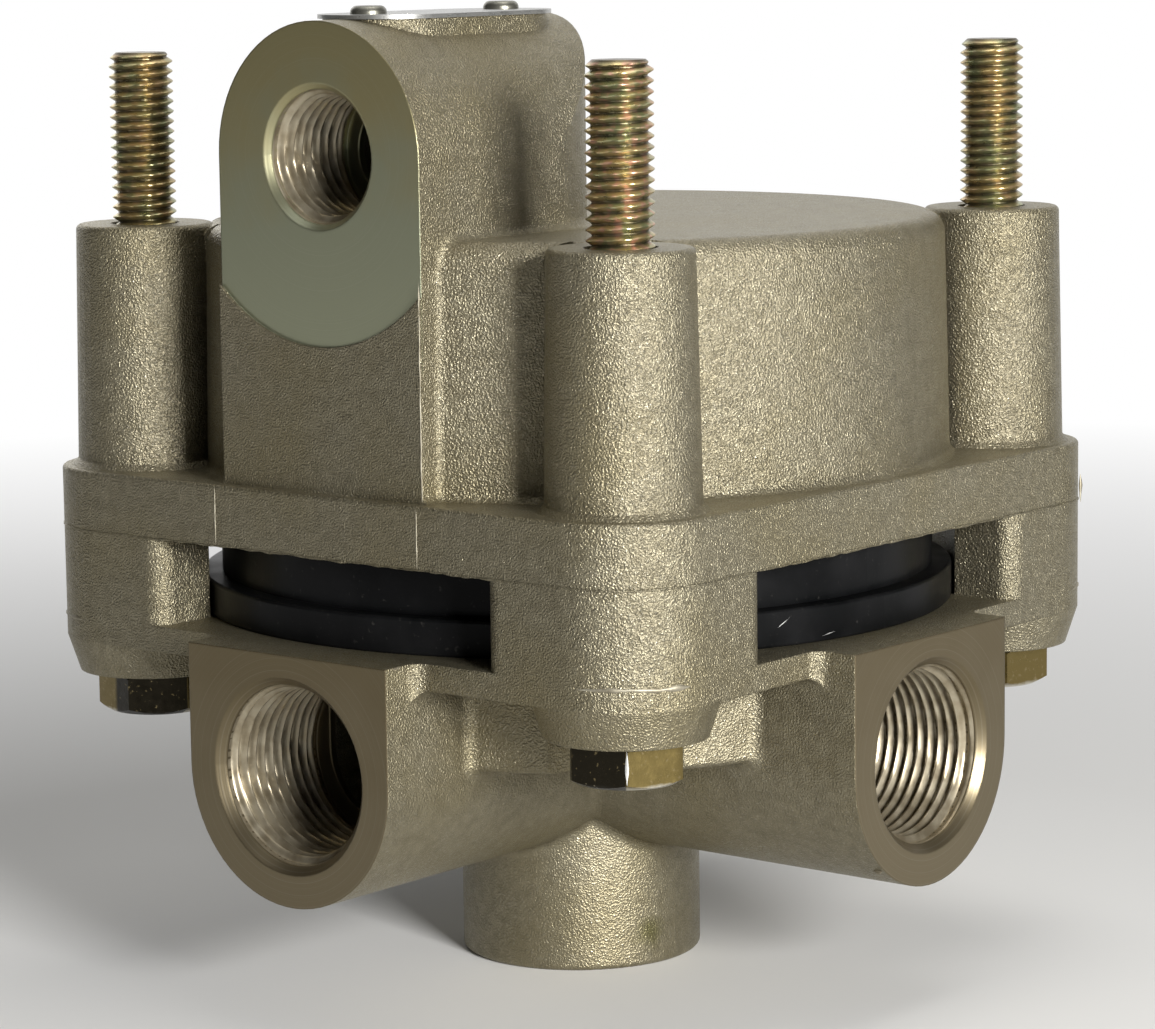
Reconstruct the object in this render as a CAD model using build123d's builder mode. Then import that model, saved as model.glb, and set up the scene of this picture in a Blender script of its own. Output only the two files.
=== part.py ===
from build123d import *
from math import cos, radians, tan
import os

# Air brake relay valve: a two-part die-cast housing held together by four long bolts.
# +Z runs up the valve axis from the centre of the exhaust mouth. The control port and one
# delivery port face -Y, and the supply port faces +X. All sizes are in millimetres.

# Housing outline and bolts
FLANGE_SIDE = 99.0
CORNER_R = 11.25
BOLT_R = 4.0
BOLT_SHANK_R = 3.6
BOLT_HOLE_CLEARANCE = 0.3
BOLT_THREAD_GAP = 0.03
BOSS_THREAD_LENGTH = 16.0
BOSS_MOUTH_DEPTH = 0.8
BOLT_HEAD_FLATS = 13.0
BOLT_HEAD_HEIGHT = 5.3
BOLT_HEAD_CHAMFER = 0.6
BOLT_POINT_CHAMFER = 0.8
STUD_LENGTH = 21.3

# Heights of the housing
PARTING_Z = 57.2
COVER_FLANGE_THICKNESS = 7.5
COVER_TOP_Z = 95.0
LOWER_FLANGE_TOP_Z = 46.2
LOWER_FLANGE_THICKNESS = 3.2
CORNER_BOSS_HEIGHT = 4.6
CORNER_BOSS_DRAFT = 18.0
FLANGE_EDGE_R = 0.5

# Cover
COVER_WALL = 4.0
DOME_DRAFT = 1.3
DOME_FOOT_R = 1.1
DOME_TOP_R = 2.6
JUNCTION_R = 1.2
COVER_BOSS_R = 9.2
COVER_BOSS_DRAFT = 1.1
COVER_BOSS_FOOT = 0.8
COVER_BOSS_TOP_R = 0.7
BOSS_GROOVE = 1.5
BOSS_WEB = 9.0
COVER_ROOF = 3.6
CHAMBER_MARGIN = 1.0
STOP_RING_OUTER_R = 16.0
STOP_RING_INNER_R = 12.0

# Control port housing on the cover
CONTROL_R = 16.0
CONTROL_PORT_RISE = 9.7
CONTROL_SETBACK = 2.0
CONTROL_LENGTH = 25.0
SPOT_FACE_R = 22.5
SPOT_FACE_DEPTH = 0.5
CONTROL_THREAD_R = 8.0
CONTROL_THREAD_LENGTH = 14.0
CONTROL_MOUTH_CHAMFER = 0.7
CONTROL_PASSAGE_R = 6.0
CONTROL_PASSAGE_REACH = 4.0
CONTROL_POCKET_HALF_WIDTH = 10.5
CONTROL_POCKET_LENGTH = 18.0
CONTROL_POCKET_HEIGHT = 20.0
CONTROL_POCKET_WALL = 2.0

# Nameplate pad, plate and rivets
PAD_HALF_WIDTH = 8.0
PAD_SETBACK = 5.3
PAD_LENGTH = 33.0
PLATE_LENGTH = 34.6
PLATE_WIDTH = 16.4
PLATE_THICKNESS = 0.5
RIVET_SPACING = 24.4
RIVET_HEAD_R = 2.2
RIVET_HEAD_HEIGHT = 1.0
RIVET_SHANK_R = 1.1
RIVET_SHANK_LENGTH = 4.0

# Lower body
POST_WIDTH = 23.4
POST_EDGE_R = 2.5
POST_LINER_CLEARANCE = 0.4
NECK_WALL = 7.0
NECK_EDGE_R = 0.8
HEAD_RELIEF_R = 14.0
PORT_Z = 31.5
PORT_BOSS_R = 16.0
PORT_BOSS_FOOT_R = 2.0
PORT_REACH = 5.5
PORT_THREAD_R = 11.0
PORT_THREAD_LENGTH = 17.0
PORT_CHAMFER = 1.0
PORT_PASSAGE_R = 8.7
PORT_PASSAGE_FROM_HUB = 5.0
CHAMBER_FLOOR_Z = 36.0
CHAMBER_STEP = 2.5
HUB_WALL = 3.5
HUB_TOP_Z = 46.0
HUB_ROOF = 3.0
SUPPLY_RIB_R = 13.2
EXHAUST_TUBE_WALL = 2.4
EXHAUST_TUBE_EDGE_R = 0.7
TUBE_JUNCTION_R = 1.5

# Liner, the black cylinder seen through the windows
LINER_BORE_R = 39.0
LINER_WALL = 4.5
LINER_TOP_Z = 82.0
LINER_RING = 2.0
LINER_FLANGE = 4.5
LINER_FLANGE_HEIGHT = 4.5
LINER_EDGE_R = 0.4
LINER_COVER_CLEARANCE = 0.3
SEAL_GAP = 0.03

# Relay piston
PISTON_CLEARANCE = 0.2
PISTON_TOP_Z = 84.0
PISTON_RIM_HEIGHT = 10.0
PISTON_RIM_WALL = 6.5
PISTON_DISC = 4.5
PISTON_STEM_LENGTH = 41.0
EXHAUST_SEAT_WALL = 0.9
EXHAUST_SEAT_DEPTH = 1.5
STOP_GAP = 0.05

# Inlet and exhaust valve
VALVE_STEM_R = 8.0
VALVE_STEM_WALL = 1.8
EXHAUST_SEAT_LAND = 0.4
SEAT_SPACING = 2.0
INLET_SEAT_WALL = 1.0
INLET_SEAT_LAND = 0.7
VALVE_BORE_MARGIN = 1.8
EXHAUST_GAP = 1.6
VALVE_RUBBER = 2.0
VALVE_FLANGE = 2.0
VALVE_STEM_LENGTH = 26.0
RUNNING_CLEARANCE = 0.06

# Guide, snap ring and flap in the exhaust tube
RING_GROOVE_Z = 6.1
RING_THICKNESS = 1.2
RING_GROOVE_DEPTH = 0.8
RING_WIDTH = 2.1
RING_GAP = 9.0
GUIDE_TOP_Z = 20.5
GUIDE_CLEARANCE = 0.1
GUIDE_COLLAR_WALL = 1.24
GUIDE_COLLAR_HEIGHT = 1.5
GUIDE_SEAL_ABOVE_FOOT = 4.6
STEM_SEAL_BELOW_TOP = 3.6
SPIDER_THICKNESS = 1.2
SPIDER_HUB_R = 3.0
SPIDER_ARM = 2.2
SPIDER_ARMS = 4
FLAP_MARGIN = 1.0
FLAP_THICKNESS = 1.1
FLAP_EDGE_R = 0.5
FLAP_STEM_R = 1.5
FLAP_HEAD_R = 2.1
FLAP_HEAD_HEIGHT = 1.0
FLAP_HEAD_DRAFT = 20.0

# Springs: wire radius, mean coil radius and turns
PISTON_SPRING_WIRE_R = 0.8
PISTON_SPRING_INSET = 2.5
PISTON_SPRING_TURNS = 7
VALVE_SPRING_WIRE_R = 0.6
VALVE_SPRING_CLEARANCE = 0.5
VALVE_SPRING_TURNS = 5
SPRING_SEAT_GAP = 0.02

# Rubber rings: radius of the round section, and the room left beside it
LINER_SEAL_R = 1.25
LINER_FOOT_SEAL_R = 0.9
PISTON_SEAL_R = 1.5
GUIDE_SEAL_R = 0.9
STEM_SEAL_R = 0.75
GROOVE_SIDE_CLEARANCE = 0.3

# Places that follow from the sizes above
half_side = FLANGE_SIDE / 2
bolt_pitch = FLANGE_SIDE - 2 * CORNER_R
bolt_hole_r = BOLT_R + BOLT_HOLE_CLEARANCE
cover_flange_top_z = PARTING_Z + COVER_FLANGE_THICKNESS
lower_flange_bottom_z = LOWER_FLANGE_TOP_Z - LOWER_FLANGE_THICKNESS
head_seat_z = lower_flange_bottom_z - CORNER_BOSS_HEIGHT
liner_r = LINER_BORE_R + LINER_WALL
liner_ring_r = liner_r + LINER_RING
liner_flange_r = liner_r + LINER_FLANGE
liner_seal_z = PARTING_Z + COVER_FLANGE_THICKNESS / 2
liner_foot_seal_ring_r = (LINER_BORE_R + liner_flange_r) / 2
cover_bore_r = liner_r + LINER_COVER_CLEARANCE
dome_r = cover_bore_r + COVER_WALL
chamber_top_z = COVER_TOP_Z - COVER_ROOF
control_port_z = COVER_TOP_Z + CONTROL_PORT_RISE
control_face_y = CONTROL_SETBACK - half_side
control_rear_y = control_face_y + CONTROL_LENGTH
cast_face_y = control_face_y - SPOT_FACE_DEPTH
crest_z = control_port_z + CONTROL_R
pad_centre_y = control_face_y + PAD_SETBACK + PAD_LENGTH / 2
piston_r = LINER_BORE_R - PISTON_CLEARANCE
piston_disc_z = PISTON_TOP_Z - PISTON_DISC
piston_seal_z = PISTON_TOP_Z - PISTON_RIM_HEIGHT / 2
exhaust_seat_z = PISTON_TOP_Z - PISTON_STEM_LENGTH
rubber_top_z = exhaust_seat_z - EXHAUST_GAP
valve_flange_z = rubber_top_z - VALVE_RUBBER - VALVE_FLANGE
valve_foot_z = valve_flange_z - VALVE_STEM_LENGTH
valve_stem_bore_r = VALVE_STEM_R - VALVE_STEM_WALL
piston_stem_r = valve_stem_bore_r + EXHAUST_SEAT_LAND + EXHAUST_SEAT_WALL
inlet_seat_r = piston_stem_r + SEAT_SPACING
valve_disc_r = inlet_seat_r + INLET_SEAT_WALL + INLET_SEAT_LAND
valve_bore_r = valve_disc_r + VALVE_BORE_MARGIN
hub_r = valve_bore_r + HUB_WALL
hub_roof_z = HUB_TOP_Z - HUB_ROOF
exhaust_tube_r = valve_bore_r + EXHAUST_TUBE_WALL
chamber_r = LINER_BORE_R - CHAMBER_STEP
neck_r = chamber_r + NECK_WALL
port_face = half_side + PORT_REACH
passage_end = hub_r + PORT_PASSAGE_FROM_HUB
guide_bottom_z = RING_GROOVE_Z + RING_THICKNESS
guide_bore_r = VALVE_STEM_R + RUNNING_CLEARANCE
guide_r = valve_bore_r - GUIDE_CLEARANCE
guide_collar_r = guide_bore_r + GUIDE_COLLAR_WALL
guide_seal_z = guide_bottom_z + GUIDE_SEAL_ABOVE_FOOT
stem_seal_z = GUIDE_TOP_Z - STEM_SEAL_BELOW_TOP
snap_ring_r = valve_bore_r + RING_GROOVE_DEPTH - GUIDE_CLEARANCE
flap_r = snap_ring_r - RING_WIDTH - FLAP_MARGIN
piston_spring_r = inlet_seat_r + PISTON_SPRING_INSET
valve_spring_r = guide_collar_r + VALVE_SPRING_CLEARANCE + VALVE_SPRING_WIRE_R
rivet_y = {
    "plate_rivet_front": pad_centre_y - RIVET_SPACING / 2,
    "plate_rivet_rear": pad_centre_y + RIVET_SPACING / 2,
}
rivet_places = [(0, y) for y in rivet_y.values()]

# Each bolt's corner, and how far its head stands turned
bolts = {
    "bolt_front_right": (1, -1, 8.6),
    "bolt_front_left": (-1, -1, 45.3),
    "bolt_rear_right": (1, 1, 20.0),
    "bolt_rear_left": (-1, 1, 3.0),
}

os.makedirs("parts", exist_ok=True)


def radius_after_draft(radius, height, draft_deg):
    """Radius of a draughted wall after it has risen by height."""
    return radius - height * tan(radians(draft_deg))


def make_seal(name, ring_r, section_r, z):
    """A round-section rubber ring that lies flat at height z."""
    with BuildPart() as seal:
        with BuildSketch(Plane.XZ):
            with Locations((ring_r, z)):
                Circle(section_r)
        revolve(axis=Axis.Z)
    seal.part.label = name
    export_step(seal.part, f"parts/{name}.step")


def make_spring(name, mean_r, wire_r, turns, bottom_z, top_z):
    """A round-wire compression spring whose wire just clears the seats at both ends."""
    rise = top_z - bottom_z - 2 * (wire_r + SPRING_SEAT_GAP)
    start_z = bottom_z + wire_r + SPRING_SEAT_GAP
    with BuildPart() as spring:
        with BuildLine():
            Helix(pitch=rise / turns, height=rise, radius=mean_r, center=(0, 0, start_z))
        with BuildSketch(Plane(origin=(mean_r, 0, start_z), z_dir=(0, 1, 0))):
            Circle(wire_r)
        sweep(is_frenet=True)
    spring.part.label = name
    export_step(spring.part, f"parts/{name}.step")


# Boss round a bolt on the cover: draughted, with a small foot and a rounded rim
boss_height = COVER_TOP_Z - cover_flange_top_z
boss_top_r = radius_after_draft(COVER_BOSS_R, boss_height, COVER_BOSS_DRAFT)
with BuildPart() as cover_boss:
    with BuildSketch(Plane.XZ) as boss_section:
        with BuildLine():
            Polyline(
                (0, cover_flange_top_z - FLANGE_EDGE_R),
                (COVER_BOSS_R + COVER_BOSS_FOOT, cover_flange_top_z - FLANGE_EDGE_R),
                (COVER_BOSS_R + COVER_BOSS_FOOT, cover_flange_top_z),
                (COVER_BOSS_R, cover_flange_top_z + COVER_BOSS_FOOT),
                (boss_top_r, COVER_TOP_Z),
                (0, COVER_TOP_Z),
                close=True,
            )
        make_face()
        boss_rim = boss_section.vertices().group_by(Axis.Y)[-1].sort_by(Axis.X)[-1]
        fillet(boss_rim, COVER_BOSS_TOP_R)
    revolve(axis=Axis.Z)

# Control port housing: straight sides and a round back in plan, arched in front view
housing_foot_z = cover_flange_top_z - FLANGE_EDGE_R
with BuildPart() as control_housing:
    with BuildSketch(Plane.XY.offset(housing_foot_z)):
        with Locations((0, (cast_face_y + control_rear_y) / 2)):
            Rectangle(2 * CONTROL_R, control_rear_y - cast_face_y)
        with Locations((0, control_rear_y)):
            Circle(CONTROL_R)
    extrude(amount=crest_z - housing_foot_z)
    with BuildSketch(Plane.XZ):
        with Locations((0, control_port_z)):
            Circle(CONTROL_R)
        with Locations((0, (control_port_z + housing_foot_z) / 2)):
            Rectangle(2 * CONTROL_R, control_port_z - housing_foot_z)
    extrude(amount=half_side, both=True, mode=Mode.INTERSECT)

# Cover: a round dome on a square flange, with a boss round each bolt
with BuildPart() as cover:
    with BuildSketch(Plane.XY.offset(PARTING_Z)):
        RectangleRounded(FLANGE_SIDE, FLANGE_SIDE, CORNER_R)
    extrude(amount=COVER_FLANGE_THICKNESS)
    fillet(cover.edges().group_by(Axis.Z)[-1], FLANGE_EDGE_R)

    # The dome leans in by its draft, with a fillet round its foot and a rounded rim
    dome_top_r = radius_after_draft(dome_r, COVER_TOP_Z - cover_flange_top_z, DOME_DRAFT)
    with BuildSketch(Plane.XZ) as dome_section:
        with BuildLine():
            Polyline(
                (0, cover_flange_top_z - FLANGE_EDGE_R),
                (dome_r + DOME_FOOT_R, cover_flange_top_z - FLANGE_EDGE_R),
                (dome_r + DOME_FOOT_R, cover_flange_top_z),
                (dome_r, cover_flange_top_z),
                (dome_top_r, COVER_TOP_Z),
                (0, COVER_TOP_Z),
                close=True,
            )
        make_face()
        dome_rim = dome_section.vertices().group_by(Axis.Y)[-1].sort_by(Axis.X)[-1]
        fillet(dome_rim, DOME_TOP_R)
        dome_foot = dome_section.vertices().filter_by(
            lambda v: abs(v.X - dome_r) < 0.01 and abs(v.Y - cover_flange_top_z) < 0.01
        )
        fillet(dome_foot, DOME_FOOT_R * 0.98)
    revolve(axis=Axis.Z)

    # The control housing grows out of the dome with a small fillet all along the joint
    add(control_housing.part)
    housing_joint = cover.edges().filter_by(
        lambda e: e.geom_type != GeomType.ELLIPSE
        and abs(e.center().X) < CONTROL_R + JUNCTION_R / 2
        and cast_face_y + JUNCTION_R < e.center().Y < 0
        and cover_flange_top_z < e.center().Z < COVER_TOP_Z + JUNCTION_R
    )
    fillet(housing_joint, JUNCTION_R)

    # A groove beside each boss sets it off from the dome, apart from one web inwards
    for side_x, side_y, _ in bolts.values():
        groove_plane = Plane(
            origin=(side_x * bolt_pitch / 2, side_y * bolt_pitch / 2, cover_flange_top_z),
            x_dir=(-side_x, -side_y, 0),
            z_dir=(0, 0, 1),
        )
        with BuildSketch(groove_plane):
            Circle(COVER_BOSS_R + BOSS_GROOVE)
            with Locations((COVER_BOSS_R, 0)):
                Rectangle(2 * COVER_BOSS_R, BOSS_WEB, mode=Mode.SUBTRACT)
        extrude(amount=boss_height, mode=Mode.SUBTRACT)
    with GridLocations(bolt_pitch, bolt_pitch, 2, 2):
        add(cover_boss.part)

    # Flat pad for the nameplate, flush with the crest of the arch
    with BuildSketch(Plane.XY.offset(crest_z)):
        with Locations((0, pad_centre_y)):
            SlotOverall(PAD_LENGTH, 2 * PAD_HALF_WIDTH, rotation=90)
    extrude(amount=-PAD_HALF_WIDTH)

    # Machined spot face round the control port
    with BuildSketch(Plane.XZ.offset(-control_face_y)):
        with Locations((0, control_port_z)):
            Circle(SPOT_FACE_R)
    extrude(amount=2 * SPOT_FACE_DEPTH, mode=Mode.SUBTRACT)

    # Bore for the liner, control chamber above it, and the piston's stop ring in its roof
    with BuildSketch(Plane.XY.offset(PARTING_Z)):
        Circle(cover_bore_r)
    extrude(amount=LINER_TOP_Z + STOP_GAP - PARTING_Z, mode=Mode.SUBTRACT)
    with BuildSketch(Plane.XY.offset(LINER_TOP_Z)):
        Circle(LINER_BORE_R + CHAMBER_MARGIN)
    extrude(amount=chamber_top_z - LINER_TOP_Z, mode=Mode.SUBTRACT)
    with BuildSketch(Plane.XY.offset(PISTON_TOP_Z + STOP_GAP)):
        Circle(STOP_RING_OUTER_R)
    extrude(amount=chamber_top_z - PISTON_TOP_Z)
    with BuildSketch(Plane.XY.offset(PISTON_TOP_Z)):
        Circle(STOP_RING_INNER_R)
    extrude(amount=chamber_top_z - PISTON_TOP_Z, mode=Mode.SUBTRACT)

    # Pocket under the control port, open to the chamber
    pocket_front_y = control_face_y + CONTROL_THREAD_LENGTH + CONTROL_POCKET_WALL
    with BuildSketch(Plane.XY.offset(chamber_top_z)):
        with Locations((0, pocket_front_y + CONTROL_POCKET_LENGTH / 2)):
            RectangleRounded(
                2 * CONTROL_POCKET_HALF_WIDTH, CONTROL_POCKET_LENGTH, CONTROL_PASSAGE_R
            )
    extrude(amount=CONTROL_POCKET_HEIGHT, mode=Mode.SUBTRACT)

    # Control port: chamfered mouth, thread length and a passage into the pocket
    with Locations(Plane.XZ.offset(-control_face_y)):
        with Locations((0, control_port_z)):
            Hole(CONTROL_THREAD_R, depth=CONTROL_THREAD_LENGTH)
            Hole(CONTROL_PASSAGE_R, depth=CONTROL_THREAD_LENGTH + CONTROL_PASSAGE_REACH)
    control_mouth = cover.edges().filter_by(
        lambda e: e.geom_type == GeomType.CIRCLE
        and abs(e.radius - CONTROL_THREAD_R) < 0.01
        and abs(e.arc_center.Y - control_face_y) < 0.01
    )
    chamfer(control_mouth, CONTROL_MOUTH_CHAMFER)

    # Bolt holes: plain below, then tapped, drawn at the thread's pitch radius, and a wider mouth
    with Locations(Plane.XY.offset(COVER_TOP_Z)):
        with GridLocations(bolt_pitch, bolt_pitch, 2, 2):
            Hole(bolt_hole_r, depth=BOSS_MOUTH_DEPTH)
            Hole(BOLT_SHANK_R + BOLT_THREAD_GAP, depth=COVER_TOP_Z - PARTING_Z)
    with Locations(Plane.XY.offset(PARTING_Z)):
        with GridLocations(bolt_pitch, bolt_pitch, 2, 2):
            Hole(bolt_hole_r, depth=COVER_TOP_Z - BOSS_THREAD_LENGTH - PARTING_Z)
    with Locations(Plane.XY.offset(crest_z)):
        with Locations(rivet_places):
            Hole(RIVET_SHANK_R, depth=RIVET_SHANK_LENGTH)
cover.part.label = "cover"
export_step(cover.part, "parts/cover.step")


# Lower body: cup, flange with four posts, three round ports and the exhaust tube
port_planes = {
    "delivery_front": Plane(origin=(0, 0, PORT_Z), x_dir=(1, 0, 0), z_dir=(0, -1, 0)),
    "delivery_rear": Plane(origin=(0, 0, PORT_Z), x_dir=(-1, 0, 0), z_dir=(0, 1, 0)),
    "supply": Plane(origin=(0, 0, PORT_Z), x_dir=(0, 1, 0), z_dir=(1, 0, 0)),
}
with BuildPart() as lower_body:
    with BuildSketch(Plane.XY.offset(lower_flange_bottom_z)):
        RectangleRounded(FLANGE_SIDE, FLANGE_SIDE, CORNER_R)
    extrude(amount=LOWER_FLANGE_THICKNESS)

    # Drum below the flange, relieved round each bolt head
    with BuildSketch(Plane.XY.offset(LOWER_FLANGE_TOP_Z)):
        Circle(neck_r)
    extrude(amount=PORT_Z - LOWER_FLANGE_TOP_Z)
    fillet(lower_body.edges().group_by(Axis.Z)[0], NECK_EDGE_R)
    with BuildSketch(Plane.XY.offset(head_seat_z)):
        with GridLocations(bolt_pitch, bolt_pitch, 2, 2):
            Circle(HEAD_RELIEF_R)
    extrude(amount=PORT_Z - head_seat_z, mode=Mode.SUBTRACT)
    with BuildSketch(Plane.XY.offset(lower_flange_bottom_z)):
        with GridLocations(bolt_pitch, bolt_pitch, 2, 2):
            Circle(CORNER_R)
    extrude(amount=-CORNER_BOSS_HEIGHT, taper=CORNER_BOSS_DRAFT)

    # Port bosses: flat topped, straight sided and round below
    port_head = LOWER_FLANGE_TOP_Z - PORT_Z
    for plane in port_planes.values():
        with BuildSketch(plane):
            Circle(PORT_BOSS_R)
            with Locations((0, port_head / 2)):
                Rectangle(2 * PORT_BOSS_R, port_head)
            with Locations((0, port_head + PORT_BOSS_R / 2)):
                Rectangle(3 * PORT_BOSS_R, PORT_BOSS_R, mode=Mode.SUBTRACT)
        extrude(amount=port_face)

    with BuildSketch(Plane.XY.offset(PORT_Z)):
        Circle(exhaust_tube_r)
    extrude(amount=-PORT_Z)
    fillet(lower_body.edges().group_by(Axis.Z)[0], EXHAUST_TUBE_EDGE_R)

    # Cast fillets where the port bosses leave the drum and the flange, and round the tube's root
    boss_foot = lower_body.edges().filter_by(
        lambda e: (
            e.geom_type == GeomType.LINE
            and min(
                abs(abs(e.center().X) - PORT_BOSS_R), abs(abs(e.center().Y) - PORT_BOSS_R)
            ) < 0.01
            and PORT_Z < e.center().Z
            and max(abs(e.center().X), abs(e.center().Y)) < half_side + 0.01
        )
        or (
            e.geom_type == GeomType.CIRCLE
            and abs(e.center().Z - lower_flange_bottom_z) < 0.01
            and abs(e.radius - neck_r) < 0.01
        )
    )
    fillet(boss_foot, PORT_BOSS_FOOT_R)
    tube_root = lower_body.edges().filter_by(
        lambda e: exhaust_tube_r - PORT_BOSS_FOOT_R
        < (e.center().X ** 2 + e.center().Y ** 2) ** 0.5
        < exhaust_tube_r + PORT_BOSS_R / 2
        and EXHAUST_TUBE_EDGE_R < e.center().Z < PORT_Z + 0.01
    )
    fillet(tube_root, TUBE_JUNCTION_R)

    # Corner posts: the flange's own corners, hollowed to clear the liner
    window = FLANGE_SIDE - 2 * POST_WIDTH
    with BuildSketch(Plane.XY.offset(LOWER_FLANGE_TOP_Z)) as posts:
        RectangleRounded(FLANGE_SIDE, FLANGE_SIDE, CORNER_R)
        Rectangle(window, 2 * FLANGE_SIDE, mode=Mode.SUBTRACT)
        Rectangle(2 * FLANGE_SIDE, window, mode=Mode.SUBTRACT)
        Circle(liner_flange_r + POST_LINER_CLEARANCE, mode=Mode.SUBTRACT)
        post_edges = posts.vertices().filter_by(
            lambda v: abs(max(abs(v.X), abs(v.Y)) - half_side) < 0.01
            and abs(min(abs(v.X), abs(v.Y)) - window / 2) < 0.01
        )
        fillet(post_edges, POST_EDGE_R)
    extrude(amount=PARTING_Z - LOWER_FLANGE_TOP_Z)

    # Delivery chamber, then the valve hub and the roof over the supply passage
    with BuildSketch(Plane.XY.offset(CHAMBER_FLOOR_Z)):
        Circle(chamber_r)
    extrude(amount=LOWER_FLANGE_TOP_Z - CHAMBER_FLOOR_Z, mode=Mode.SUBTRACT)
    with BuildSketch(Plane.XY.offset(PORT_Z)):
        Circle(hub_r)
    extrude(amount=HUB_TOP_Z - PORT_Z)
    with BuildSketch(port_planes["supply"]):
        Circle(SUPPLY_RIB_R)
    extrude(amount=chamber_r + (neck_r - chamber_r) / 2)

    # Valve bore up to the roof of the hub, with the inlet seat standing down from it
    with BuildSketch():
        Circle(valve_bore_r)
    extrude(amount=hub_roof_z, mode=Mode.SUBTRACT)
    with BuildSketch(Plane.XY.offset(rubber_top_z)):
        Circle(inlet_seat_r + INLET_SEAT_WALL)
    extrude(amount=HUB_TOP_Z - rubber_top_z)
    with BuildSketch(Plane.XY.offset(rubber_top_z)):
        Circle(inlet_seat_r)
    extrude(amount=HUB_TOP_Z - rubber_top_z, mode=Mode.SUBTRACT)

    # Ports: the supply passage meets the valve bore, the delivery ones open upwards
    for name, plane in port_planes.items():
        bore_end = valve_bore_r / 2 if name == "supply" else passage_end
        with Locations(plane.offset(port_face)):
            Hole(PORT_THREAD_R, depth=PORT_THREAD_LENGTH)
            Hole(PORT_PASSAGE_R, depth=port_face - bore_end)
    slot_length = port_face - PORT_THREAD_LENGTH - passage_end
    slot_middle = passage_end + slot_length / 2
    with BuildSketch(Plane.XY.offset(PORT_Z)):
        with Locations((0, -slot_middle), (0, slot_middle)):
            Rectangle(2 * PORT_PASSAGE_R, slot_length)
    extrude(amount=LOWER_FLANGE_TOP_Z - PORT_Z, mode=Mode.SUBTRACT)
    port_mouths = lower_body.edges().filter_by(
        lambda e: e.geom_type == GeomType.CIRCLE
        and abs(e.radius - PORT_THREAD_R) < 0.01
        and max(abs(e.arc_center.X), abs(e.arc_center.Y)) > port_face - 0.01
    )
    chamfer(port_mouths, PORT_CHAMFER)

    with BuildSketch(Plane.XY.offset(RING_GROOVE_Z)):
        Circle(valve_bore_r + RING_GROOVE_DEPTH)
    extrude(amount=RING_THICKNESS, mode=Mode.SUBTRACT)
    with Locations(Plane.XY.offset(PARTING_Z)):
        with GridLocations(bolt_pitch, bolt_pitch, 2, 2):
            Hole(bolt_hole_r, depth=PARTING_Z - head_seat_z)
lower_body.part.label = "lower_body"
export_step(lower_body.part, "parts/lower_body.step")


# Liner: black moulded cylinder the piston runs in, clamped between the two castings
liner_groove = 2 * (LINER_SEAL_R + GROOVE_SIDE_CLEARANCE)
liner_groove_r = cover_bore_r - 2 * (LINER_SEAL_R + SEAL_GAP)
foot_groove = LINER_FOOT_SEAL_R + GROOVE_SIDE_CLEARANCE
with BuildPart() as cylinder_liner:
    with BuildSketch(Plane.XZ) as liner_section:
        with BuildLine():
            Polyline(
                (LINER_BORE_R, LOWER_FLANGE_TOP_Z),
                (liner_flange_r, LOWER_FLANGE_TOP_Z),
                (liner_flange_r, LOWER_FLANGE_TOP_Z + LINER_FLANGE_HEIGHT),
                (liner_ring_r, LOWER_FLANGE_TOP_Z + LINER_FLANGE_HEIGHT),
                (liner_ring_r, PARTING_Z),
                (liner_r, PARTING_Z),
                (liner_r, LINER_TOP_Z),
                (LINER_BORE_R, LINER_TOP_Z),
                close=True,
            )
        make_face()
        flange_rim = liner_section.vertices().filter_by(lambda v: abs(v.X - liner_flange_r) < 0.01)
        fillet(flange_rim, LINER_EDGE_R)
        lead_in = liner_section.vertices().filter_by(
            lambda v: abs(v.X - liner_r) < 0.01 and v.Y > LINER_TOP_Z - 0.01
        )
        chamfer(lead_in, 2 * LINER_COVER_CLEARANCE)
    revolve(axis=Axis.Z)
    with BuildSketch(Plane.XY.offset(liner_seal_z - liner_groove / 2)):
        Circle(liner_r + LINER_COVER_CLEARANCE)
        Circle(liner_groove_r, mode=Mode.SUBTRACT)
    extrude(amount=liner_groove, mode=Mode.SUBTRACT)
    with BuildSketch(Plane.XY.offset(LOWER_FLANGE_TOP_Z)):
        Circle(liner_foot_seal_ring_r + foot_groove)
        Circle(liner_foot_seal_ring_r - foot_groove, mode=Mode.SUBTRACT)
    extrude(amount=2 * (LINER_FOOT_SEAL_R + SEAL_GAP), mode=Mode.SUBTRACT)
cylinder_liner.part.label = "cylinder_liner"
export_step(cylinder_liner.part, "parts/cylinder_liner.step")

make_seal(
    "liner_upper_seal", cover_bore_r - LINER_SEAL_R - SEAL_GAP, LINER_SEAL_R, liner_seal_z
)
make_seal(
    "liner_foot_seal",
    liner_foot_seal_ring_r,
    LINER_FOOT_SEAL_R,
    LOWER_FLANGE_TOP_Z + LINER_FOOT_SEAL_R + SEAL_GAP,
)


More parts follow.
